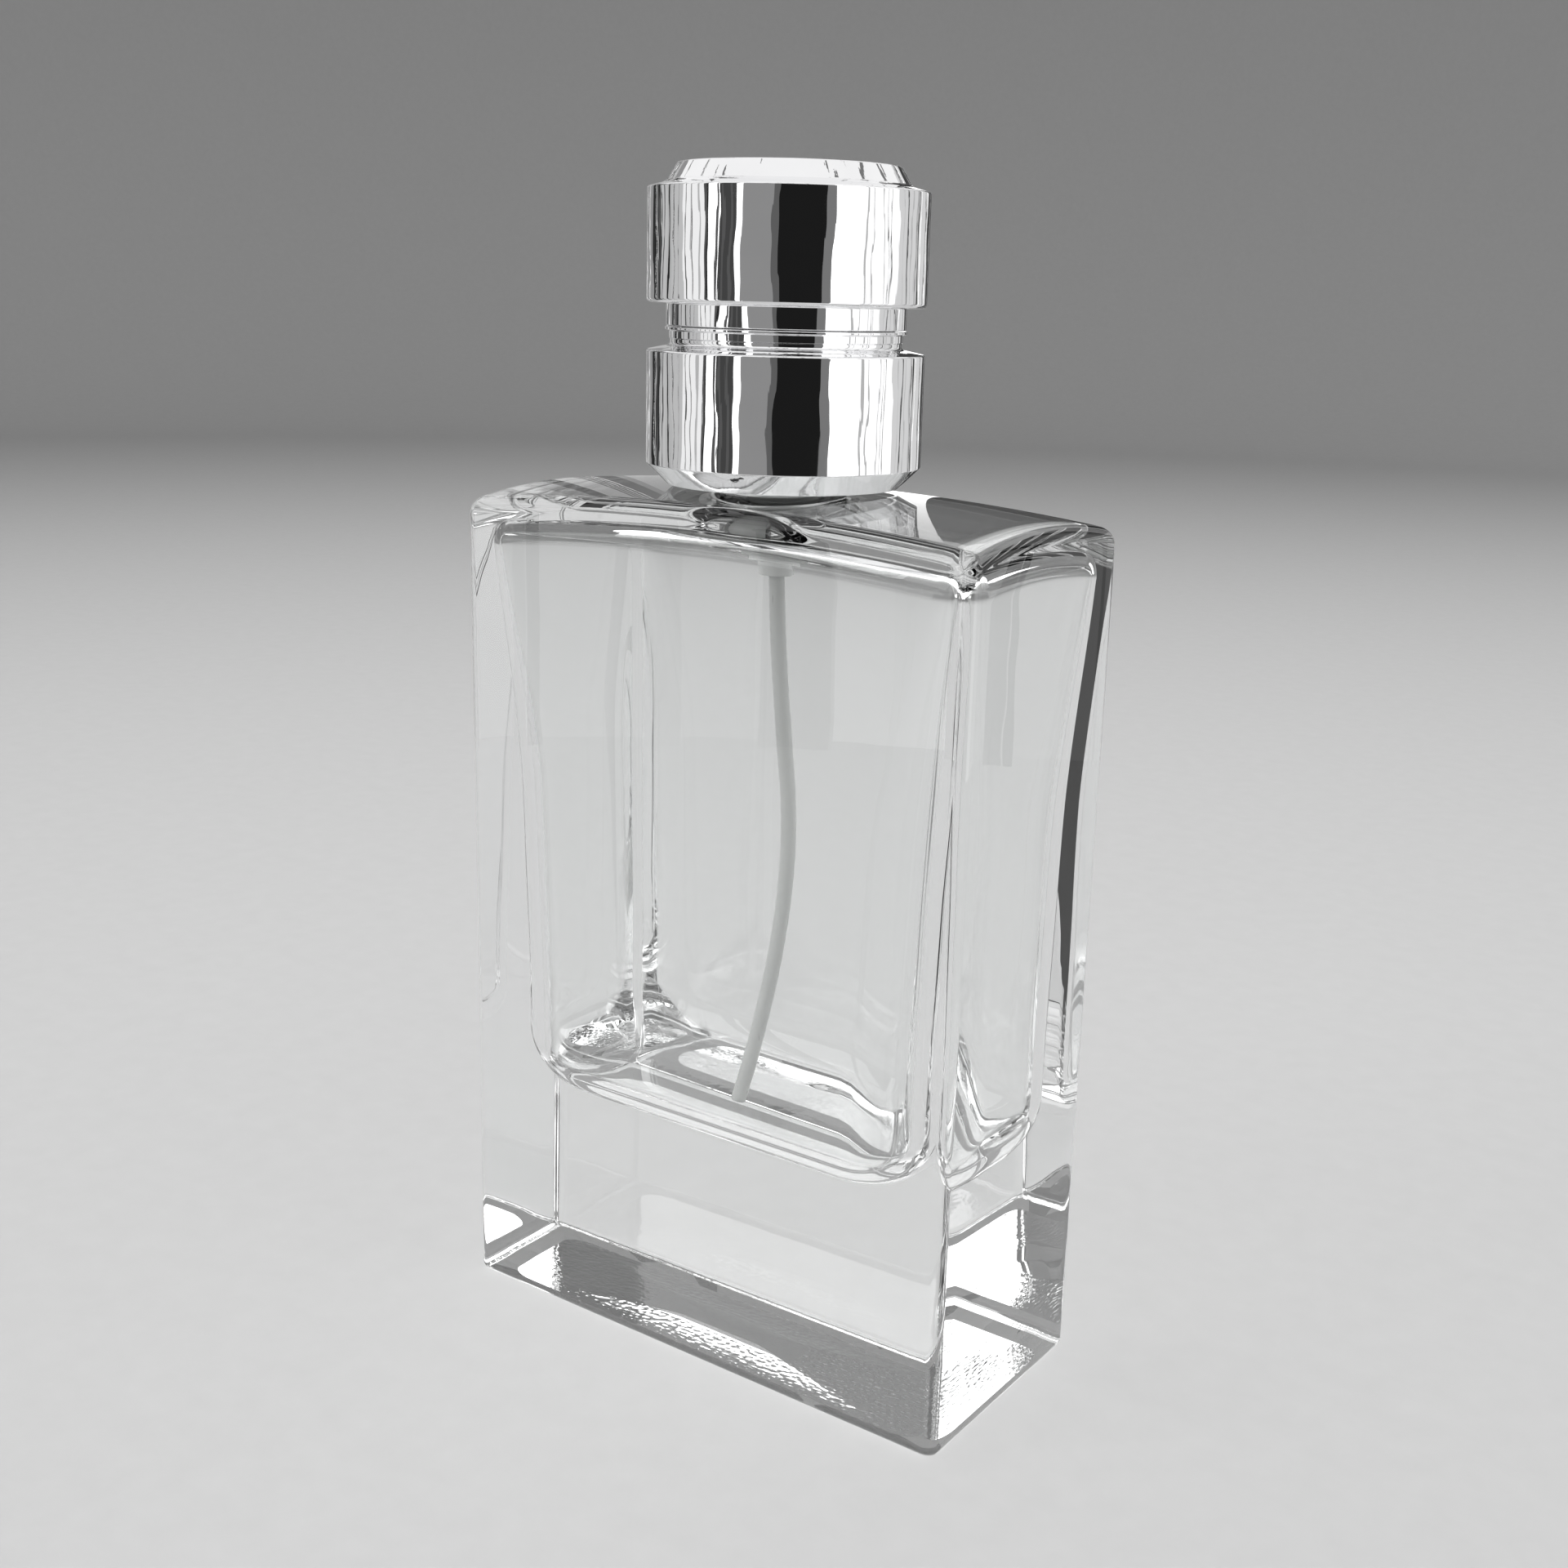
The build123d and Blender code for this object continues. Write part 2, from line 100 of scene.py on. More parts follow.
hollow_ripple_rate = np.array([0.31, 0.23]) / MM
hollow_low_corner, hollow_top_corner = 7.2 * MM, 2.6 * MM
corner_ease_start, corner_ease_length = 60.0 * MM, 27.0 * MM
brow_height = 86.5 * MM
wall_lean = np.array([0.05, 0.01])
floor_corner_loss = 2.6 * MM
floor_round = np.array([7.0, 4.8]) * MM
floor_lift = np.array([6.5, 4.8]) * MM
neck_radius = 6.6 * MM
neck_bore = 4.75 * MM
neck_fillet = 0.9 * MM
neck_outline = [(6.6, 96.4), (7.45, 97.3), (7.45, 100.2), (7.2, 100.55), (6.9, 100.6)]
neck_outline += [(5.2, 100.6), (4.9, 100.5), (4.75, 100.2), (4.75, 99.0)]
glass_colour = (0.985, 0.992, 0.99, 1)

corner_steps, long_steps, short_steps = 12, 30, 14
pole_share = 0.05  # the innermost ring's share of its outline; a fan closes it


def side_pattern():
    """For each point of a rounded rectangle: its share (-1 to 1) of the way to a corner's centre,
    and the direction from there to the line. A point is share * (half size - radius) + radius *
    direction; four quarter turns, with straight runs between them."""
    shares, directions = [], []
    signs = np.array([(1, 1), (-1, 1), (-1, -1), (1, -1)], float)
    for corner in range(4):
        angle = np.radians(90 * corner + np.linspace(0, 90, corner_steps))
        directions.append(np.column_stack([np.cos(angle), np.sin(angle)]))
        shares.append(np.repeat(signs[corner][None], corner_steps, 0))
        steps = long_steps if corner % 2 == 0 else short_steps
        along = (np.arange(1, steps + 1) / (steps + 1))[:, None]
        shares.append(signs[corner] * (1 - along) + signs[(corner + 1) % 4] * along)
        directions.append(np.repeat(directions[-1][-1:], steps, 0))
    return np.concatenate(shares), np.concatenate(directions)


share, direction = side_pattern()


def rectangle(half, radius):
    """Rounded rectangle: share * (half size - radius) + radius * direction."""
    return share * (half - radius) + radius * direction


body_outline = rectangle(body_half, body_corner)
fan = np.arctan2(body_outline[:, 1] / body_half[1], body_outline[:, 0] / body_half[0])


def circle(radius):
    """Circle with as many points, each turned to lie opposite its point on the rectangle."""
    return radius * np.column_stack([np.cos(fan), np.sin(fan)])


def crown(points):
    """Height of the shoulder: its highest point less two parabolas, one across and one deep."""
    return crown_height - (points / body_half) ** 2 @ crown_sag


def ring(points, height):
    """A ring in space from its plan and a height, which may differ from point to point."""
    return np.column_stack([points, np.broadcast_to(height, len(points))])


def hollow_half(height):
    """Half width and half depth of the hollow at a height: both widen upwards, by a straight
    taper plus a share of the height squared, with a faint ripple from blowing."""
    rise = np.asarray(height)[..., None] - hollow_floor
    ripple = hollow_ripple * np.sin(rise * hollow_ripple_rate + 1.0)
    return hollow_floor_half + hollow_taper * rise + hollow_flare * rise**2 + ripple


def hollow_corner(height):
    """Corner radius of the hollow: the low one, eased to the top one by the share squared times
    three less twice the share."""
    ease = np.clip((np.asarray(height)[..., None] - corner_ease_start) / corner_ease_length, 0, 1)
    return hollow_low_corner + (hollow_top_corner - hollow_low_corner) * ease**2 * (3 - 2 * ease)


def glass_rings():
    """The whole skin as one run of rings: under the base, up the outside, over the shoulder, up
    the neck, down its bore, along the roof of the hollow, down its walls and in over its floor."""
    rings = []
    for reach in np.linspace(pole_share, 1, 10):  # push-up, a cosine bell
        outline = rectangle(body_half - base_rim, base_rim_corner) * reach
        rings.append(ring(outline, base_push_up * 0.5 * (1 + math.cos(math.pi * reach))))
    for turn in np.radians(np.linspace(0, 90, 8)):  # bearing rim, rolled up into the sides
        inset = base_round * (1 - math.sin(turn))
        outline = rectangle(body_half - inset, body_corner - 0.6 * inset)
        rings.append(ring(outline, base_round * (1 - math.cos(turn))))
    side_top = crown(body_outline) - shoulder_round
    for reach in np.linspace(0, 1, 26)[1:-1]:
        rings.append(ring(body_outline, base_round + (side_top - base_round) * reach))
    for turn in np.radians(np.linspace(0, 90, 12)):  # soft upper edge
        inset = shoulder_round * (1 - math.cos(turn))
        outline = rectangle(body_half - inset, body_corner - 0.5 * inset)
        rings.append(ring(outline, crown(outline) - shoulder_round * (1 - math.sin(turn))))
    rim, foot = rings[-1][:, :2], circle(neck_radius + neck_fillet)
    for reach in np.linspace(1, 0, 28)[1:]:
        outline = rim * reach + foot * (1 - reach)
        rings.append(ring(outline, crown(outline)))
    for turn in np.radians(np.linspace(0, 90, 7))[1:]:  # fillet up into the neck
        outline = circle(neck_radius + neck_fillet * (1 - math.sin(turn)))
        rings.append(ring(outline, crown(outline) + neck_fillet * (1 - math.cos(turn))))
    for radius, height in neck_outline:
        rings.append(ring(circle(radius * MM), height * MM))
    for turn in np.radians(np.linspace(0, 90, 7)):  # the bore opens out into the roof
        outline = circle(neck_bore + neck_fillet * (1 - math.cos(turn)))
        roof = crown(outline) - roof_thickness
        rings.append(ring(outline, roof + neck_fillet * (1 - math.sin(turn))))
    lean = 1 + direction**2 @ wall_lean  # the walls lean, so the roof turns further
    corner = hollow_corner(brow_height)
    brow = rectangle(hollow_half(brow_height), corner)
    brow_drop = roof_round * (1 - np.cos(np.pi / 2 * lean))
    brow_inset = roof_round * (1 - np.sin(np.pi / 2 * lean))
    edge = hollow_half(crown(brow) - roof_thickness - brow_drop) + brow_inset[:, None]
    rim, foot = rectangle(edge - roof_round, corner - roof_round), rings[-1][:, :2]
    for reach in np.linspace(0, 1, 24)[1:]:
        outline = rim * reach + foot * (1 - reach)
        rings.append(ring(outline, crown(outline) - roof_thickness))
    for turn in np.radians(np.linspace(0, 90, 14))[1:]:
        inset = roof_round * (1 - np.sin(turn * lean))[:, None]
        outline = rectangle(edge - inset, corner - inset)
        drop = roof_round * (1 - np.cos(turn * lean))
        rings.append(ring(outline, crown(outline) - roof_thickness - drop))
    wall_top = rings[-1][:, 2]
    lift = direction**2 @ floor_lift
    wall_foot = hollow_floor + lift
    for reach in np.linspace(0, 1, 44)[1:]:
        height = wall_top * (1 - reach) + wall_foot * reach
        rings.append(ring(rectangle(hollow_half(height), hollow_corner(height)), height))
    for turn in np.radians(np.linspace(0, 90, 16))[1:]:  # the walls roll into the floor
        inset = floor_round * (1 - math.cos(turn))
        height = hollow_floor + lift * (1 - math.sin(turn))
        corner = hollow_corner(height) - floor_corner_loss * (1 - math.cos(turn))
        rings.append(ring(rectangle(hollow_half(height) - inset, corner), height))
    floor_outline = rings[-1][:, :2]
    for reach in np.linspace(1, pole_share, 10)[1:]:
        rings.append(ring(floor_outline * reach, hollow_floor))
    return np.array(rings)


def skin(name, rings, ends="both"):
    """A mesh through rings of equally many points, quads from each ring to the next. Its ends
    close in a fan on their middle, both or only the start, or stay open, or join each other."""
    count, around = rings.shape[:2]
    index = np.arange(count * around).reshape(count, around)
    low = index if ends == "joined" else index[:-1]
    high = np.roll(index, -1, 0) if ends == "joined" else index[1:]
    quads = np.stack([low, np.roll(low, -1, 1), np.roll(high, -1, 1), high], -1).reshape(-1, 4)
    points, faces = rings.reshape(-1, 3), quads.tolist()
    if ends in ("both", "start"):
        points = np.concatenate([points, rings[0].mean(0)[None]])
        middle = np.full(around, len(points) - 1)
        faces += np.column_stack([middle, np.roll(index[0], -1), index[0]]).tolist()
    if ends == "both":
        points = np.concatenate([points, rings[-1].mean(0)[None]])
        faces += np.column_stack([index[-1], np.roll(index[-1], -1), middle + 1]).tolist()
    mesh = bpy.data.meshes.new(name)
    mesh.from_pydata(points.tolist(), [], faces)
    mesh.polygons.foreach_set("use_smooth", np.ones(len(mesh.polygons), bool))
    piece = bpy.data.objects.new(name, mesh)
    bpy.context.scene.collection.objects.link(piece)
    return piece


class Shade:
    """A value inside a finish. Each arithmetic sign adds one Math node."""

    def __init__(self, finish, socket):
        self.finish, self.socket = finish, socket

    def math(self, operation, first, second):
        return self.finish.node("Math", {"operation": operation}, {0: first, 1: second})

    def __add__(self, other):
        return self.math("ADD", self, other)

    def __mul__(self, other):
        return self.math("MULTIPLY", self, other)

    def __gt__(self, other):
        return self.math("GREATER_THAN", self, other)

    def __lt__(self, other):
        return self.math("LESS_THAN", self, other)

    __radd__, __rmul__ = __add__, __mul__


class Finish:
    """A material round one Principled shader, with its fixed sockets given as a dictionary."""

    def __init__(self, name, fixed):
        self.material = bpy.data.materials.new(name)
        self.material.use_nodes = True
        self.tree = self.material.node_tree
        self.shader = self.tree.nodes["Principled BSDF"]
        self.vary(fixed)
        self.place = self.node("TexCoord", out="Object")
        self.z = self.node("SeparateXYZ", values={0: self.place}, out=2)

    def vary(self, sockets):
        for socket, value in sockets.items():
            self.feed(self.shader.inputs[socket], value)

    def feed(self, socket, value):
        if isinstance(value, Shade):
            self.tree.links.new(value.socket, socket)
        else:
            socket.default_value = value

    def node(self, kind, settings=None, values=None, out=0):
        """A node by type: its settings first, then the values or links of its sockets."""
        made = self.tree.nodes.new("ShaderNode" + kind)
        for setting, value in (settings or {}).items():
            setattr(made, setting, value)
        for socket, value in (values or {}).items():
            self.feed(made.inputs[socket], value)
        return Shade(self, made.outputs[out])

    def grain(self, size, detail=3.0, stretch=(1, 1, 1)):
        """Noise whose lumps are about size metres, longer along an axis by its stretch."""
        scale = tuple(1 / k for k in stretch)
        place = self.node("Mapping", values={"Vector": self.place, "Scale": scale})
        values = {"Vector": place, "Scale": 1 / size, "Detail": detail, "Roughness": 0.55}
        return self.node("TexNoise", None, values)

    def blend(self, share, first, second):
        """Colour between first and second."""
        return self.node("Mix", {"data_type": "RGBA"}, {0: share, 6: first, 7: second}, 2)

    def relief(self, height, depth):
        """Bump: the height, 0 to 1, stands for depth metres."""
        values = {"Height": height, "Distance": depth, "Strength": 1.0}
        self.vary({"Normal": self.node("Bump", None, values)})


def fit(piece, finish, body, slot, *nodes):
    """Gives a piece its finish and its body, and puts it in the place of its CAD nodes."""
    piece.data.materials.append(finish.material)
    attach(piece, body)
    if nodes:
        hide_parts(*nodes)
    return piece


clear_glass = Finish(
    "clear_glass",
    {"Base Color": glass_colour, "Transmission Weight": 1.0, "IOR": 1.52, "Roughness": 0.0},
)
mould_wave = clear_glass.grain(9 * MM, 1.0)
stipple_size, rim_top = 0.7 * MM, 0.35 * MM
stipple = clear_glass.node(
    "TexVoronoi", {"feature": "SMOOTH_F1"}, {"Vector": clear_glass.place, "Scale": 1 / stipple_size}
)
on_rim = clear_glass.z < rim_top
clear_glass.relief(mould_wave * 0.5 + stipple * on_rim * 2.0, 0.02 * MM)
clear_glass.vary({"Roughness": on_rim * 0.05})

bottle = fit(skin("bottle", glass_rings()), clear_glass, "root", "glass", "glass_bottle")
bottle.visible_shadow = False  # clear glass: light reaches the tube and the table through it


# ---------------------------------------------------------------------------------------------
# Pump housing and its inner parts. Milky polypropylene mouldings: a flange on the glass lip, a
# cylinder inside the neck, a ball chamber and a tail; a steel ball and spring work inside it.
edge_round, arc_steps, shading_step, same_point = 0.06, 7, 0.04, 1e-4


def rounded(corners, loop=True):
    """An outline in mm through corners (radius, height, rounding). Each corner becomes an arc that
    touches both its sides, at rounding / tan(half its angle) from it; a short step is added
    before and after every arc, so that the straight runs shade as straight."""
    points = np.array([corner[:2] for corner in corners], float)
    radius = np.array([corner[2] if len(corner) > 2 else edge_round for corner in corners])
    if not loop:
        radius[[0, -1]] = 0
    before, after = np.roll(points, 1, 0) - points, np.roll(points, -1, 0) - points
    before /= np.linalg.norm(before, axis=1)[:, None]
    after /= np.linalg.norm(after, axis=1)[:, None]
    half = np.arccos(np.clip((before * after).sum(1), -0.99999, 0.99999)) / 2
    start = points + before * (radius / np.tan(half))[:, None]
    end = points + after * (radius / np.tan(half))[:, None]
    middle = before + after
    middle /= np.linalg.norm(middle, axis=1)[:, None] + 1e-12
    centre = points + middle * (radius / np.sin(half))[:, None]
    angle = np.arctan2(*(start - centre).T[::-1])
    sweep = np.arctan2(*(end - centre).T[::-1]) - angle
    sweep = (sweep + np.pi) % (2 * np.pi) - np.pi
    turn = angle[:, None] + sweep[:, None] * np.linspace(0, 1, arc_steps)
    arcs = centre[:, None] + radius[:, None, None] * np.stack([np.cos(turn), np.sin(turn)], -1)
    lead = shading_step * (radius > 0)[:, None, None]
    arcs = np.concatenate(
        [start[:, None] + before[:, None] * lead, arcs, end[:, None] + after[:, None] * lead], 1
    )
    line = arcs.reshape(-1, 2)
    apart = np.linalg.norm(line - np.roll(line, 1, 0), axis=1) > same_point
    if not loop:
        apart[0] = True
    return line[apart]


def turned(name, outline, segments=128, ends="joined"):
    """Surface of revolution: every point (radius, height) of the outline goes once round Z."""
    angle = np.linspace(0, 2 * np.pi, segments, endpoint=False)
    radius, height = outline.T[..., None] * MM
    flat = [radius * np.cos(angle), radius * np.sin(angle), height + 0 * angle]
    return skin(name, np.stack(flat, -1), ends)


housing_corners = [
    (0.82, 83.5), (1.8, 83.5, 0.2), (1.8, 86.8, 0.1), (2.7, 86.8, 0.2), (2.7, 88.6),
    (3.55, 88.9, 0.1), (3.55, 97.0), (3.95, 97.4), (3.95, 101.1), (7.1, 101.1),
    (7.1, 102.0), (3.3, 102.0), (3.3, 99.15), (2.75, 99.15), (2.75, 89.2),
    (1.2, 89.2), (1.2, 87.6), (0.55, 87.0), (0.55, 86.55, 0.02), (0.82, 86.55, 0.02),
]

milky_plastic = Finish(
    "milky_plastic",
    {"Base Color": (0.78, 0.79, 0.78, 1), "Transmission Weight": 0.3, "IOR": 1.49},
)
cloud = milky_plastic.grain(2.2 * MM, 4.0)
milky_plastic.vary({"Roughness": cloud * 0.25 + 0.25})
milky_plastic.relief(milky_plastic.grain(0.5 * MM, 2.0), 0.01 * MM)

fit(
    turned("pump_body", rounded(housing_corners)),
    milky_plastic, "root", "milky_plastic", "pump_housing",
)

spring_wire, spring_coil, spring_turns = 0.18 * MM, 2.0 * MM, 5
spring_low, spring_high = 89.4 * MM, 95.4 * MM
spring_flat_share = 0.08


def coil(name):
    """A round wire on a helix: at share t of the way the middle is at angle 2 pi turns t, and it
    rises evenly, save for a flat share of the wire at each end."""
    t = np.linspace(0, 1, 260)[:, None]
    angle = 2 * np.pi * spring_turns * t
    rise = np.clip((t - spring_flat_share) / (1 - 2 * spring_flat_share), 0, 1)
    out = np.concatenate([np.cos(angle), np.sin(angle), 0 * angle], 1)
    path = out * spring_coil + upright * (spring_low + (spring_high - spring_low) * rise)
    along = np.gradient(path, axis=0)
    along /= np.linalg.norm(along, axis=1)[:, None]
    side = np.cross(along, out)
    turn = np.linspace(0, 2 * np.pi, 12, endpoint=False)
    wheel = out[:, None] * np.cos(turn)[:, None] - side[:, None] * np.sin(turn)[:, None]
    return skin(name, path[:, None] + spring_wire * wheel)


spring_steel = Finish("spring_steel", {"Base Color": (0.62, 0.62, 0.63, 1), "Metallic": 1.0})
draw_lines = spring_steel.grain(0.3 * MM, 3.0, (1, 1, 6))
spring_steel.vary({"Roughness": draw_lines * 0.2 + 0.15})
spring_steel.relief(draw_lines, 0.005 * MM)
spring = fit(coil("spring"), spring_steel, "root", "spring_steel", "return_spring")
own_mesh(spring)

ball_steel = Finish("ball_steel", {"Base Color": (0.7, 0.7, 0.71, 1), "Metallic": 1.0})
ball_steel.vary({"Roughness": ball_steel.grain(0.2 * MM, 4.0) * 0.12 + 0.06})

stem_plastic = Finish("stem_plastic", {"Base Color": (0.9, 0.9, 0.88, 1)})
flow_marks = stem_plastic.grain(0.8 * MM, 4.0, (1, 1, 3))
stem_plastic.vary({"Roughness": flow_marks * 0.2 + 0.3})
stem_plastic.relief(flow_marks, 0.01 * MM)

seal_rubber = Finish("seal_rubber", {})
bloom = seal_rubber.grain(0.6 * MM, 5.0)
seal_dark, seal_pale = (0.1, 0.1, 0.1, 1), (0.2, 0.2, 0.2, 1)
seal_rubber.vary({"Base Color": seal_rubber.blend(bloom, seal_dark, seal_pale)})
seal_rubber.vary({"Roughness": bloom * 0.2 + 0.6})
seal_rubber.relief(bloom, 0.01 * MM)

cad_finishes = {"neck_gasket": seal_rubber, "stem_seal": seal_rubber, "check_ball": ball_steel}
cad_finishes |= {"poppet": stem_plastic, "piston": stem_plastic, "stem": stem_plastic}
cad_finishes |= {"turret": milky_plastic}
for node, finish in cad_finishes.items():
    bpy.data.objects[node].data.materials.clear()
    bpy.data.objects[node].data.materials.append(finish.material)


# ---------------------------------------------------------------------------------------------
# Dip tube. Extruded polyethylene, cut square, pressed into the housing's tail. It left its reel
# with a set, so it leaves straight and then bows once before it reaches the floor.
tube_outer, tube_bore = 0.82 * MM, 0.55 * MM
tube_swell, tube_swell_rate = 0.012, 1.3
lip_inset, lip_length = 0.04 * MM, 0.03 * MM
bow_azimuth = math.radians(35.5)
bow = np.array([math.cos(bow_azimuth), math.sin(bow_azimuth), 0.0])
bow_side = np.cross(upright, bow)
tube_route = np.array([(0, 86.5), (0, 77.0), (3.3, 47.6), (-2.6, 25.35)]) * MM


def tube_line(count=90):
    """The middle of the tube, from its cut end up into the housing: two parabolas, each drawn
    from three points, that meet midway between the route's second and third point."""
    p0, p1, p2, p3 = tube_route
    t = np.linspace(1, 0, count)[:, None]
    meet = (p1 + p2) / 2
    low = (1 - t) ** 2 * meet + 2 * t * (1 - t) * p2 + t**2 * p3
    high = (1 - t) ** 2 * p0 + 2 * t * (1 - t) * p1 + t**2 * meet
    plan = np.concatenate([low, high[1:]])
    return plan[:, :1] * bow + plan[:, 1:] * upright


def tube_skin(name):
    """Circles square to the middle line, up the outside and back down the bore, both swelling
    and thinning by a sine of the count of the circle."""
    line = tube_line()
    along = np.gradient(line, axis=0)
    along /= np.linalg.norm(along, axis=1)[:, None]
    across = np.cross(bow_side, along)
    turn = np.linspace(0, 2 * np.pi, 32, endpoint=False)[None, :, None]
    wheel = across[:, None] * np.cos(turn) + bow_side[None, None] * np.sin(turn)
    ripple = 1 + tube_swell * np.sin(np.arange(len(line)) * tube_swell_rate)[:, None, None]
    outside = line[:, None] + tube_outer * ripple * wheel
    inside = line[:, None] + tube_bore * ripple * wheel
    lip = line[:1, None] + (tube_outer - lip_inset) * wheel[:1] - lip_length * along[0]
    return skin(name, np.concatenate([lip, outside, inside[::-1]]), "joined")


tube_plastic = Finish(
    "tube_plastic",
    {"Base Color": (0.66, 0.67, 0.66, 1), "Transmission Weight": 0.35, "IOR": 1.5},
)
die_lines = tube_plastic.grain(0.25 * MM, 3.0, (1, 1, 30))
tube_plastic.vary({"Roughness": die_lines * 0.25 + 0.2})
tube_plastic.relief(die_lines, 0.006 * MM)
fit(tube_skin("dip_tube_moulding"), tube_plastic, "root", "tube_plastic", "dip_tube")


# ---------------------------------------------------------------------------------------------
# Ferrule. A thin drawn aluminium cup over the flange and the glass bead, its skirt crimped in
# under the bead by a ring of closing jaws.
ferrule_corners = [
    (2.25, 102.0), (7.5, 102.0), (7.5, 97.3), (6.9, 96.65), (6.9, 96.2, 0.05),
    (7.9, 97.0, 0.3), (7.9, 102.4, 0.45), (2.25, 102.4),
]
ferrule_metal = Finish("ferrule_metal", {"Base Color": (0.78, 0.78, 0.79, 1), "Metallic": 1.0})
drawn_lines = ferrule_metal.grain(0.35 * MM, 4.0, (1, 1, 14))
ferrule_metal.vary({"Roughness": drawn_lines * 0.25 + 0.18})
ferrule_metal.relief(drawn_lines, 0.008 * MM)
fit(
    turned("ferrule", rounded(ferrule_corners)),
    ferrule_metal, "root", "ferrule_aluminium", "crimp_ferrule",
)


# ---------------------------------------------------------------------------------------------
# Collar. A moulded liner grips the ferrule; round it a stamped shell, bright plated, with a
# chamfered foot, a straight band, a groove and a rolled lip that the cap stands on.
liner_corners = [
    (7.9, 94.2), (8.8, 94.2), (8.8, 101.2), (12.5, 101.2), (12.5, 95.05), (13.4, 95.05),
    (13.4, 105.1), (12.5, 105.1), (12.5, 102.2), (11.0, 102.2), (11.0, 107.45),
    (10.45, 107.45), (10.45, 102.2), (7.9, 102.0),
]
white_plastic = Finish("white_plastic", {"Base Color": (0.84, 0.84, 0.83, 1)})
moulded_skin = white_plastic.grain(0.5 * MM, 3.0)
white_plastic.vary({"Roughness": white_plastic.grain(5 * MM, 3.0) * 0.2 + 0.28})
white_plastic.relief(moulded_skin, 0.012 * MM)
fit(
    turned("collar_inner", rounded(liner_corners)),
    white_plastic, "root", "white_plastic", "collar_liner",
)

collar_corners = [
    (11.4, 92.6, 0.05), (11.75, 92.6, 0.1), (13.85, 94.65, 0.15), (13.85, 105.65, 0.22),
    (12.3, 105.97, 0.08), (11.5, 106.1, 0.5), (11.5, 106.72, 0.04), (11.6, 106.8, 0.04),
    (11.6, 107.52, 0.08), (12.0, 107.6, 0.06), (12.0, 107.9, 0.12), (10.45, 107.9, 0.1),
    (10.45, 107.45), (11.0, 107.45), (11.0, 105.2), (13.4, 105.2), (13.4, 94.85),
    (11.4, 92.75),
]

chrome = Finish("chrome", {"Metallic": 1.0})
draw_wave = chrome.grain(1.6 * MM, 2.0, (1, 1, 9))
ripple_fine = chrome.grain(0.5 * MM, 2.0, (1, 1, 16))
dent = chrome.grain(5 * MM, 1.0, (1, 1, 1.3))
smear = chrome.grain(6 * MM, 6.0)
chrome_bright, chrome_dull = (0.93, 0.93, 0.935, 1), (0.84, 0.84, 0.85, 1)
chrome.vary({"Base Color": chrome.blend(smear, chrome_bright, chrome_dull)})
chrome.vary({"Roughness": (smear > 0.6) * 0.03 + ripple_fine * 0.02 + 0.01})
chrome.relief(dent * 0.7 + draw_wave * 0.06 + ripple_fine * 0.015, 0.2 * MM)
fit(
    turned("collar_chrome", rounded(collar_corners), 256),
    chrome, "root", "bright_chrome", "collar_shell",
)


# ---------------------------------------------------------------------------------------------
# Actuator. A moulded button on the pump's stem, with a drawn aluminium sleeve over it and a small
# nozzle pressed into its side; a finger pushes it down against the spring, and it can turn.
weld_distance, crease_angle = 0.002 * MM, math.radians(28)


def smoothed(name, node):
    """A copy of a node's mesh, its doubles merged, shaded smooth except across sharp edges."""
    mesh = bpy.data.objects[node].data.copy()
    mesh.name = name
    work = bmesh.new()
    work.from_mesh(mesh)
    bmesh.ops.remove_doubles(work, verts=work.verts, dist=weld_distance)
    work.to_mesh(mesh)
    work.free()
    mesh.polygons.foreach_set("use_smooth", np.ones(len(mesh.polygons), bool))
    mesh.set_sharp_from_angle(angle=crease_angle)
    mesh.materials.clear()
    piece = bpy.data.objects.new(name, mesh)
    bpy.context.scene.collection.objects.link(piece)
    return piece


fit(
    smoothed("button_core", "actuator_core"),
    white_plastic, "actuator", "white_plastic", "actuator_core",
)
fit(
    smoothed("nozzle", "nozzle_insert"),
    stem_plastic, "actuator", "stem_plastic", "nozzle_insert",
)

satin_aluminium = Finish("satin_aluminium", {"Metallic": 1.0})
turning_lines = satin_aluminium.grain(0.12 * MM, 3.0, (14, 14, 1))
tone = satin_aluminium.grain(4 * MM, 3.0)
sleeve_bright, sleeve_dull = (0.86, 0.86, 0.87, 1), (0.78, 0.78, 0.79, 1)
satin_aluminium.vary({"Base Color": satin_aluminium.blend(tone, sleeve_bright, sleeve_dull)})
satin_aluminium.vary({"Roughness": turning_lines * 0.18 + 0.16})
satin_aluminium.relief(turning_lines, 0.004 * MM)
fit(
    smoothed("button_sleeve", "actuator_sleeve"),
    satin_aluminium, "actuator", "silver_aluminium", "actuator_sleeve",
)


# ---------------------------------------------------------------------------------------------
# Cap. A moulded liner whose plug slips into the collar's mouth, inside a stamped shell in the
# same bright plating: a narrow skirt, a wide band, a stepped shoulder and a bevelled crown.
axis_gap = 0.05  # a closed end starts this far from the axis, and a fan closes it
cap_liner_corners = [
    (axis_gap, 121.75), (9.35, 121.75, 0.8), (9.35, 104.5), (9.65, 104.2, 0.1),
    (10.1, 104.2, 0.1), (10.35, 104.6, 0.2), (10.35, 108.36), (11.45, 108.36),
    (11.45, 109.26), (10.35, 109.26), (10.35, 119.6), (13.4, 119.6), (13.4, 120.4),
    (10.35, 120.4), (10.35, 122.85), (axis_gap, 122.85),
]
fit(
    turned("cap_inner", rounded(cap_liner_corners, False), 128, "both"),
    white_plastic, "cap", "white_plastic", "cap_liner",
)

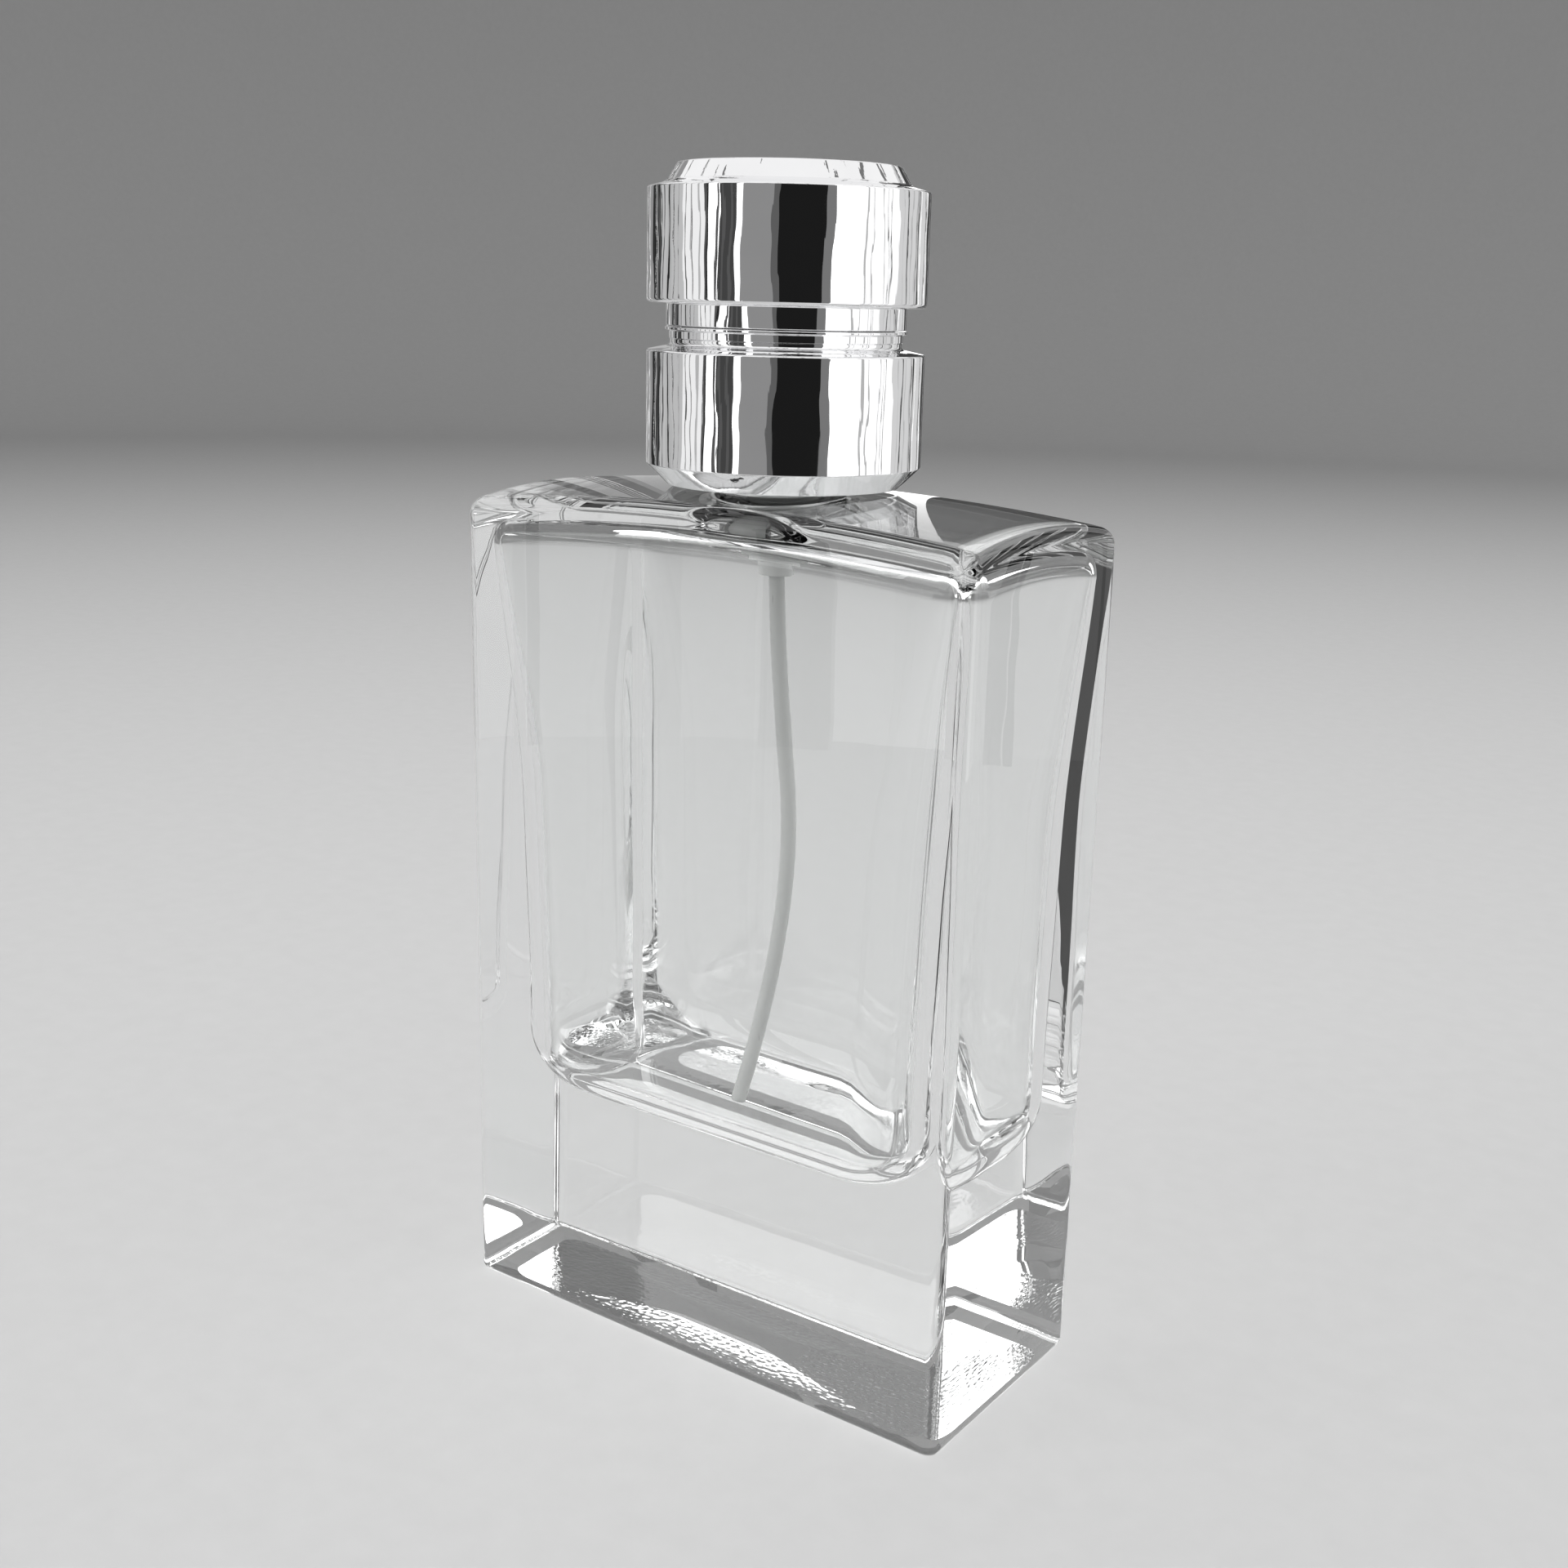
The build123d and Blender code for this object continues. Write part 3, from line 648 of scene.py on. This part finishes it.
cap_corners = [
    (axis_gap, 122.85), (10.5, 122.85), (11.6, 121.2), (12.2, 120.9), (13.4, 120.55),
    (13.4, 110.6), (11.45, 110.6), (11.45, 108.36), (10.4, 108.36), (10.4, 107.96),
    (11.9, 107.96, 0.12), (11.9, 110.15, 0.15), (13.85, 110.15, 0.42), (13.85, 121.0, 0.18),
    (12.5, 121.35, 0.1), (11.95, 121.62, 0.12), (10.95, 123.3, 0.16), (axis_gap, 123.3),
]
fit(
    turned("cap_chrome", rounded(cap_corners, False), 256, "both"),
    chrome, "cap", "bright_chrome", "cap_shell",
)


# ---------------------------------------------------------------------------------------------
# Studio. A pale table that sweeps up into a round wall, soft boxes overhead and at the sides,
# and a ring of bright and dim glowing strips under a glowing canopy, which only mirrors see.
sweep_radius, wall_radius, wall_height = 0.35, 1.6, 1.3
table_middle = 0.02  # a fan closes the table inside this radius
sweep_turn = np.radians(np.linspace(0, 90, 24))
sweep_line = np.concatenate([
    np.column_stack([np.linspace(table_middle, wall_radius - sweep_radius, 20), np.zeros(20)]),
    np.column_stack([
        wall_radius - sweep_radius + sweep_radius * np.sin(sweep_turn[1:]),
        sweep_radius - sweep_radius * np.cos(sweep_turn[1:]),
    ]),
    np.array([[wall_radius, wall_height]]),
]) / MM
table = turned("table", sweep_line, 96, "start")
table.data.flip_normals()
table_cloth = Finish("table_cloth", {"Specular IOR Level": 0.0})
fibre = table_cloth.grain(0.004, 4.0)
cloth_dark, cloth_pale = (0.52, 0.52, 0.52, 1), (0.56, 0.56, 0.56, 1)
table_cloth.vary({"Base Color": table_cloth.blend(fibre, cloth_dark, cloth_pale)})
table_cloth.vary({"Roughness": fibre * 0.15 + 0.55})
table.data.materials.append(table_cloth.material)


bottle_middle = Vector((0, 0, 0.06))


def softbox(name, azimuth, distance, height, width, tall, power):
    """A soft box at an azimuth (degrees from -Y) and height, turned to face the bottle."""
    light = bpy.data.lights.new(name, "AREA")
    light.shape, light.size, light.size_y, light.energy = "RECTANGLE", width, tall, power
    lamp = bpy.data.objects.new(name, light)
    turn = math.radians(azimuth)
    lamp.location = (distance * math.sin(turn), -distance * math.cos(turn), height)
    lamp.rotation_euler = (lamp.location - bottle_middle).to_track_quat("Z", "Y").to_euler()
    lamp.visible_camera = False
    bpy.context.scene.collection.objects.link(lamp)
    return lamp


overhead = softbox("overhead_box", 0, 0.02, 0.72, 1.2, 1.2, 8.5)
overhead.visible_glossy = False  # mirrors see the canopy instead
softbox("left_box", -36, 1.25, 0.66, 0.7, 0.83, 3.9)
softbox("right_box", 143, 1.25, 0.66, 0.7, 0.83, 3.9)

strip_radius, strip_height = 0.30, 0.26
slat_count, slat_radius_share, slat_gap = 90, 0.97, (-38, 62)
slat_widths, slat_tones = (0.3, 2.2), [0.02, 0.1, 0.5, 1.8]
# edges in degrees round from the camera's azimuth, and the glow of each strip between them
strip_edges = [-180, -138, -121, -90, -66, -58, -42, -36, -12, -7, 28, 36, 60, 98, 150, 180]
strip_strengths = [0.30, 0.03, 0.55, 0.95, 1.5, 0.06, 1.5, 0.28, 0.12, 0.012, 0.2, 2.2, 1.2, 0.7, 0.05]


def cloth_strips(name):
    """A ring of upright glowing strips, each a band of azimuth at one radius, with thin glowing
    slats in
    front of the wide ones: places, widths and glow strengths of the slats are drawn from a fixed
    seed."""
    draw = np.random.default_rng(11)
    one_radius = np.ones(len(strip_strengths))
    wide = np.column_stack([strip_edges[:-1], strip_edges[1:], strip_strengths, one_radius])
    from_angle = draw.uniform(-180, 180, slat_count)
    from_angle = from_angle[(from_angle < slat_gap[0]) | (from_angle > slat_gap[1])]
    width = draw.uniform(*slat_widths, len(from_angle))
    tone = draw.choice(slat_tones, len(from_angle))
    nearer = np.full(len(width), slat_radius_share)
    slats = np.column_stack([from_angle, from_angle + width, tone, nearer])
    rows = np.concatenate([wide, slats])
    share = np.linspace(0, 1, 9)
    azimuth = camera_azimuth + np.radians(rows[:, :1] * (1 - share) + rows[:, 1:2] * share)
    radius = strip_radius * rows[:, 3:4] * np.ones(len(share))
    foot = np.stack([radius * np.sin(azimuth), -radius * np.cos(azimuth), 0 * azimuth], -1)
    points = np.stack([foot, foot + upright * strip_height], 2)
    index = np.arange(points[..., 0].size).reshape(points.shape[:3])
    quads = np.stack([index[:, :-1, 0], index[:, 1:, 0], index[:, 1:, 1], index[:, :-1, 1]], -1)
    mesh = bpy.data.meshes.new(name)
    mesh.from_pydata(points.reshape(-1, 3).tolist(), [], quads.reshape(-1, 4).tolist())
    tones = mesh.attributes.new("tone", "FLOAT", "POINT")
    tones.data.foreach_set("value", np.repeat(rows[:, 2], 2 * len(share)).astype(np.float32))
    strips = bpy.data.objects.new(name, mesh)
    bpy.context.scene.collection.objects.link(strips)
    return strips


strips = cloth_strips("cloth_strips")
# painted reflection: the strips glow at their own strengths, some nearly dark, and only mirrors see
# them; they put the bands of light and dark into the chrome and the glass
glowing = {"Base Color": (0, 0, 0, 1), "Specular IOR Level": 0.0, "Emission Strength": 1.0}
strip_finish = Finish("strip_glow", glowing)
strip_finish.vary({"Emission Color": strip_finish.node("Attribute", {"attribute_name": "tone"}, out="Color")})
# painted reflection: the canopy glows, and only mirrors see it, in place of the overhead box
canopy_line = np.array([(300, 260), (220, 500), (axis_gap, 560)])
canopy = turned("canopy", canopy_line, 64, "open")
glowing_canopy = Finish("glowing_canopy", glowing)
canopy_side_top = 0.499
# painted shade: thin streaks on the canopy's sides glow at a fifth of its strength, as shaded folds
# of cloth would look
fold_shade_mask = (glowing_canopy.grain(0.03, 2.0, (1, 1, 40)) < 0.37) * (glowing_canopy.z < canopy_side_top)
canopy_bright, painted_fold_shade = (1.0, 1.0, 1.0, 1), (0.2, 0.2, 0.2, 1)
glowing_canopy.vary({"Emission Color": glowing_canopy.blend(fold_shade_mask, canopy_bright, painted_fold_shade)})
for screen, finish in ((strips, strip_finish), (canopy, glowing_canopy)):
    screen.data.materials.append(finish.material)
    for ray in ("camera", "diffuse", "transmission", "volume_scatter", "shadow"):
        setattr(screen, "visible_" + ray, False)

room_light = 0.16
world = bpy.data.worlds.new("room")
world.use_nodes = True
world.node_tree.nodes["Background"].inputs["Color"].default_value = (1, 1, 1, 1)
world.node_tree.nodes["Background"].inputs["Strength"].default_value = room_light
bpy.context.scene.world = world
bpy.context.scene.view_settings.view_transform = "Standard"
bpy.context.scene.cycles.max_bounces = 20
bpy.context.scene.cycles.glossy_bounces = 12
bpy.context.scene.cycles.transmission_bounces = 18
